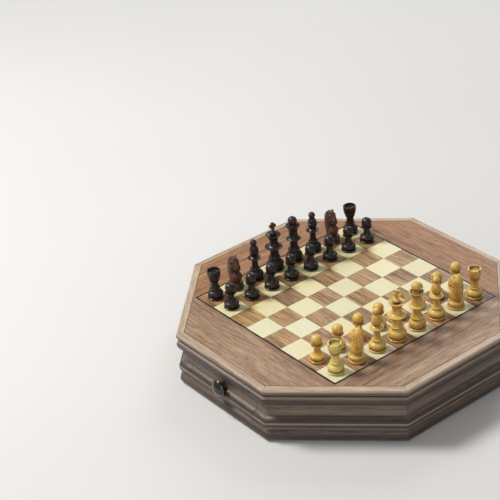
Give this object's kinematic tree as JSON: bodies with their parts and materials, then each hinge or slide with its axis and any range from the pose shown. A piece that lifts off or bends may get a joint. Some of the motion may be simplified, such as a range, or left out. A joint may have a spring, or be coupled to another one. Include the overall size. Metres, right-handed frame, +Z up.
{
  "type": "chess board",
  "caption": "Octagonal wooden chess board case with moulded sides, inlaid field, sliding drawers with round knobs and magnetic turned pieces standing on their squares.",
  "frame": {"origin": "centre of the underside, at the felt feet", "axes": "+Z up; the front drawer opens towards -Y, the rear drawer towards +Y; the light pieces stand on the +X side of the field and the dark pieces on the -X side"},
  "size_m": [0.32, 0.3342, 0.112],
  "materials": {
    "light_veneer": "satin lacquered maple",
    "dark_veneer": "satin lacquered walnut",
    "black_inlay": "black dyed veneer",
    "border_veneer": "satin lacquered walnut",
    "edge_wood": "satin lacquered",
    "side_wood": "satin stained",
    "inner_wood": "bare sawn wood",
    "base_ply": "bare plywood",
    "fibreboard": "bare fibreboard",
    "steel": "mill finish",
    "screw_steel": "zinc plated",
    "foot_felt": "felt",
    "insert_felt": "felt",
    "knob_black": "black gloss lacquer",
    "boxwood": "satin lacquered boxwood",
    "ebonised_wood": "gloss lacquered"
  },
  "bodies": {
    "case": {"light_squares": "light_veneer", "dark_squares": "dark_veneer", "inlay_lines": "black_inlay", "border_veneers": "border_veneer", "steel_sheet": "steel", "top_board": "fibreboard", "top_moulding": "edge_wood", "side_boards": "side_wood", "drawer_side_frames": "side_wood", "base_moulding": "side_wood", "base_board": "base_ply", "base_screws": "screw_steel", "felt_feet": "foot_felt", "corner_blocks": "inner_wood", "drawer_guides": "inner_wood", "centre_divider": "inner_wood"},
    "front_drawer": {"front_drawer_front": "side_wood", "front_drawer_box": "inner_wood", "front_drawer_bottom": "base_ply", "front_drawer_insert": "insert_felt", "front_drawer_knob": "knob_black", "front_drawer_knob_screw": "screw_steel"},
    "rear_drawer": {"rear_drawer_front": "side_wood", "rear_drawer_box": "inner_wood", "rear_drawer_bottom": "base_ply", "rear_drawer_insert": "insert_felt", "rear_drawer_knob": "knob_black", "rear_drawer_knob_screw": "screw_steel"},
    "light_king": {"light_king": "boxwood"},
    "light_queen": {"light_queen": "boxwood"},
    "light_bishop_1": {"light_bishop_1": "boxwood"},
    "light_bishop_2": {"light_bishop_2": "boxwood"},
    "light_knight_1": {"light_knight_1": "boxwood"},
    "light_knight_2": {"light_knight_2": "boxwood"},
    "light_rook_1": {"light_rook_1": "boxwood"},
    "light_rook_2": {"light_rook_2": "boxwood"},
    "light_pawn_1": {"light_pawn_1": "boxwood"},
    "light_pawn_2": {"light_pawn_2": "boxwood"},
    "light_pawn_3": {"light_pawn_3": "boxwood"},
    "light_pawn_4": {"light_pawn_4": "boxwood"},
    "light_pawn_5": {"light_pawn_5": "boxwood"},
    "light_pawn_6": {"light_pawn_6": "boxwood"},
    "light_pawn_7": {"light_pawn_7": "boxwood"},
    "light_pawn_8": {"light_pawn_8": "boxwood"},
    "dark_king": {"dark_king": "ebonised_wood"},
    "dark_queen": {"dark_queen": "ebonised_wood"},
    "dark_bishop_1": {"dark_bishop_1": "ebonised_wood"},
    "dark_bishop_2": {"dark_bishop_2": "ebonised_wood"},
    "dark_knight_1": {"dark_knight_1": "ebonised_wood"},
    "dark_knight_2": {"dark_knight_2": "ebonised_wood"},
    "dark_rook_1": {"dark_rook_1": "ebonised_wood"},
    "dark_rook_2": {"dark_rook_2": "ebonised_wood"},
    "dark_pawn_1": {"dark_pawn_1": "ebonised_wood"},
    "dark_pawn_2": {"dark_pawn_2": "ebonised_wood"},
    "dark_pawn_3": {"dark_pawn_3": "ebonised_wood"},
    "dark_pawn_4": {"dark_pawn_4": "ebonised_wood"},
    "dark_pawn_5": {"dark_pawn_5": "ebonised_wood"},
    "dark_pawn_6": {"dark_pawn_6": "ebonised_wood"},
    "dark_pawn_7": {"dark_pawn_7": "ebonised_wood"},
    "dark_pawn_8": {"dark_pawn_8": "ebonised_wood"}
  },
  "joints": [
    {"name": "front_drawer_slide", "type": "slide", "parent": "case", "child": "front_drawer", "axis": [0, -1, 0], "range_m": [0, 0.105]},
    {"name": "rear_drawer_slide", "type": "slide", "parent": "case", "child": "rear_drawer", "axis": [0, 1, 0], "range_m": [0, 0.105]},
    {"name": "light_king_lift", "type": "slide", "parent": "case", "child": "light_king", "axis": [0, 0, 1], "range_m": [0, 0.06]},
    {"name": "light_queen_lift", "type": "slide", "parent": "case", "child": "light_queen", "axis": [0, 0, 1], "range_m": [0, 0.06]},
    {"name": "light_bishop_1_lift", "type": "slide", "parent": "case", "child": "light_bishop_1", "axis": [0, 0, 1], "range_m": [0, 0.06]},
    {"name": "light_bishop_2_lift", "type": "slide", "parent": "case", "child": "light_bishop_2", "axis": [0, 0, 1], "range_m": [0, 0.06]},
    {"name": "light_knight_1_lift", "type": "slide", "parent": "case", "child": "light_knight_1", "axis": [0, 0, 1], "range_m": [0, 0.06]},
    {"name": "light_knight_2_lift", "type": "slide", "parent": "case", "child": "light_knight_2", "axis": [0, 0, 1], "range_m": [0, 0.06]},
    {"name": "light_rook_1_lift", "type": "slide", "parent": "case", "child": "light_rook_1", "axis": [0, 0, 1], "range_m": [0, 0.06]},
    {"name": "light_rook_2_lift", "type": "slide", "parent": "case", "child": "light_rook_2", "axis": [0, 0, 1], "range_m": [0, 0.06]},
    {"name": "light_pawn_1_lift", "type": "slide", "parent": "case", "child": "light_pawn_1", "axis": [0, 0, 1], "range_m": [0, 0.06]},
    {"name": "light_pawn_2_lift", "type": "slide", "parent": "case", "child": "light_pawn_2", "axis": [0, 0, 1], "range_m": [0, 0.06]},
    {"name": "light_pawn_3_lift", "type": "slide", "parent": "case", "child": "light_pawn_3", "axis": [0, 0, 1], "range_m": [0, 0.06]},
    {"name": "light_pawn_4_lift", "type": "slide", "parent": "case", "child": "light_pawn_4", "axis": [0, 0, 1], "range_m": [0, 0.06]},
    {"name": "light_pawn_5_lift", "type": "slide", "parent": "case", "child": "light_pawn_5", "axis": [0, 0, 1], "range_m": [0, 0.06]},
    {"name": "light_pawn_6_lift", "type": "slide", "parent": "case", "child": "light_pawn_6", "axis": [0, 0, 1], "range_m": [0, 0.06]},
    {"name": "light_pawn_7_lift", "type": "slide", "parent": "case", "child": "light_pawn_7", "axis": [0, 0, 1], "range_m": [0, 0.06]},
    {"name": "light_pawn_8_lift", "type": "slide", "parent": "case", "child": "light_pawn_8", "axis": [0, 0, 1], "range_m": [0, 0.06]},
    {"name": "dark_king_lift", "type": "slide", "parent": "case", "child": "dark_king", "axis": [0, 0, 1], "range_m": [0, 0.06]},
    {"name": "dark_queen_lift", "type": "slide", "parent": "case", "child": "dark_queen", "axis": [0, 0, 1], "range_m": [0, 0.06]},
    {"name": "dark_bishop_1_lift", "type": "slide", "parent": "case", "child": "dark_bishop_1", "axis": [0, 0, 1], "range_m": [0, 0.06]},
    {"name": "dark_bishop_2_lift", "type": "slide", "parent": "case", "child": "dark_bishop_2", "axis": [0, 0, 1], "range_m": [0, 0.06]},
    {"name": "dark_knight_1_lift", "type": "slide", "parent": "case", "child": "dark_knight_1", "axis": [0, 0, 1], "range_m": [0, 0.06]},
    {"name": "dark_knight_2_lift", "type": "slide", "parent": "case", "child": "dark_knight_2", "axis": [0, 0, 1], "range_m": [0, 0.06]},
    {"name": "dark_rook_1_lift", "type": "slide", "parent": "case", "child": "dark_rook_1", "axis": [0, 0, 1], "range_m": [0, 0.06]},
    {"name": "dark_rook_2_lift", "type": "slide", "parent": "case", "child": "dark_rook_2", "axis": [0, 0, 1], "range_m": [0, 0.06]},
    {"name": "dark_pawn_1_lift", "type": "slide", "parent": "case", "child": "dark_pawn_1", "axis": [0, 0, 1], "range_m": [0, 0.06]},
    {"name": "dark_pawn_2_lift", "type": "slide", "parent": "case", "child": "dark_pawn_2", "axis": [0, 0, 1], "range_m": [0, 0.06]},
    {"name": "dark_pawn_3_lift", "type": "slide", "parent": "case", "child": "dark_pawn_3", "axis": [0, 0, 1], "range_m": [0, 0.06]},
    {"name": "dark_pawn_4_lift", "type": "slide", "parent": "case", "child": "dark_pawn_4", "axis": [0, 0, 1], "range_m": [0, 0.06]},
    {"name": "dark_pawn_5_lift", "type": "slide", "parent": "case", "child": "dark_pawn_5", "axis": [0, 0, 1], "range_m": [0, 0.06]},
    {"name": "dark_pawn_6_lift", "type": "slide", "parent": "case", "child": "dark_pawn_6", "axis": [0, 0, 1], "range_m": [0, 0.06]},
    {"name": "dark_pawn_7_lift", "type": "slide", "parent": "case", "child": "dark_pawn_7", "axis": [0, 0, 1], "range_m": [0, 0.06]},
    {"name": "dark_pawn_8_lift", "type": "slide", "parent": "case", "child": "dark_pawn_8", "axis": [0, 0, 1], "range_m": [0, 0.06]}
  ]
}
